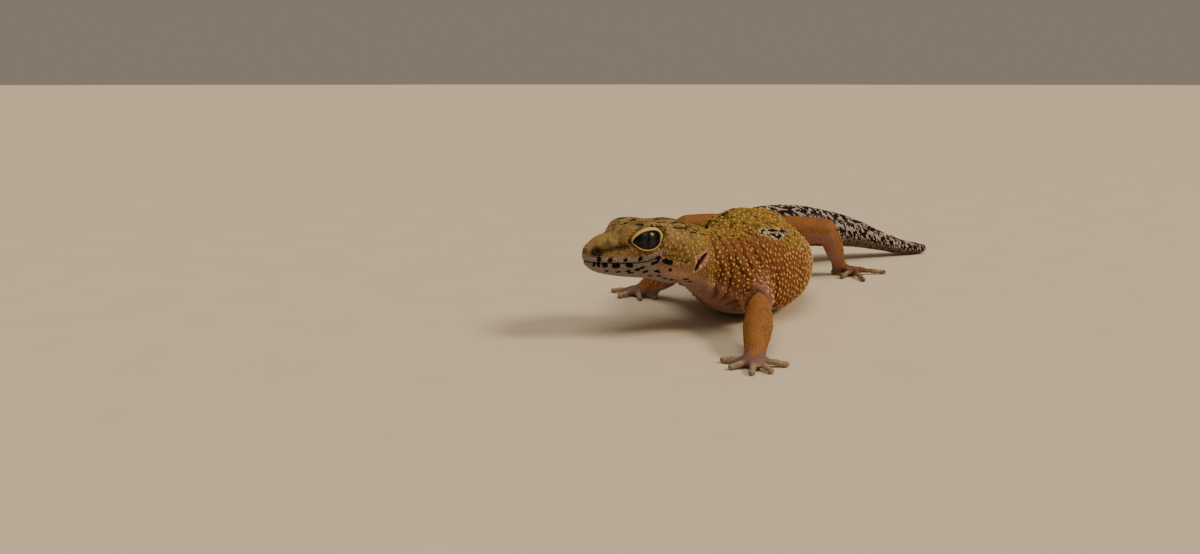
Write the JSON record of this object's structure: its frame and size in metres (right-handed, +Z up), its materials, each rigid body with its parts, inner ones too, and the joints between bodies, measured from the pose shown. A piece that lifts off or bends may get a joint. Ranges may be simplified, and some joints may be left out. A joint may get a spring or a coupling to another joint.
{
  "type": "leopard gecko",
  "caption": "Still, life-size leopard gecko standing on splayed legs, head turned and thick spotted tail laid out behind.",
  "frame": {"origin": "on the ground, under the middle of the whole model's box", "axes": "+X runs from the tail tip towards the snout, +Y is the animal's left side, +Z is up"},
  "size_m": [0.1754, 0.107, 0.0311],
  "materials": {
    "head_skin": "matt, finely pebbled scales with dark streaks",
    "throat_skin": "matt, pale with dark spots along the lips",
    "body_skin": "matt, with rows of pale tubercles",
    "tail_skin": "matt, pale with a black net of spots",
    "leg_skin": "matt, fine scales",
    "foot_skin": "matt, fine scales",
    "eye": "wet gloss, dark grey iris with a slit pupil",
    "claw": "dull horn"
  },
  "bodies": {
    "root": {"lower_jaw": "throat_skin", "head": "head_skin", "neck": "body_skin", "trunk": "body_skin", "tail_base": "tail_skin", "tail_middle": "tail_skin", "tail_tip": "tail_skin", "eye_left": "eye", "eye_right": "eye", "upper_front_left": "leg_skin", "lower_front_left": "leg_skin", "foot_front_left": "foot_skin", "claw_front_left_1": "claw", "claw_front_left_2": "claw", "claw_front_left_3": "claw", "claw_front_left_4": "claw", "claw_front_left_5": "claw", "upper_front_right": "leg_skin", "lower_front_right": "leg_skin", "foot_front_right": "foot_skin", "claw_front_right_1": "claw", "claw_front_right_2": "claw", "claw_front_right_3": "claw", "claw_front_right_4": "claw", "claw_front_right_5": "claw", "upper_hind_left": "leg_skin", "lower_hind_left": "leg_skin", "foot_hind_left": "foot_skin", "claw_hind_left_1": "claw", "claw_hind_left_2": "claw", "claw_hind_left_3": "claw", "claw_hind_left_4": "claw", "claw_hind_left_5": "claw", "upper_hind_right": "leg_skin", "lower_hind_right": "leg_skin", "foot_hind_right": "foot_skin", "claw_hind_right_1": "claw", "claw_hind_right_2": "claw", "claw_hind_right_3": "claw", "claw_hind_right_4": "claw", "claw_hind_right_5": "claw"}
  },
  "joints": []
}
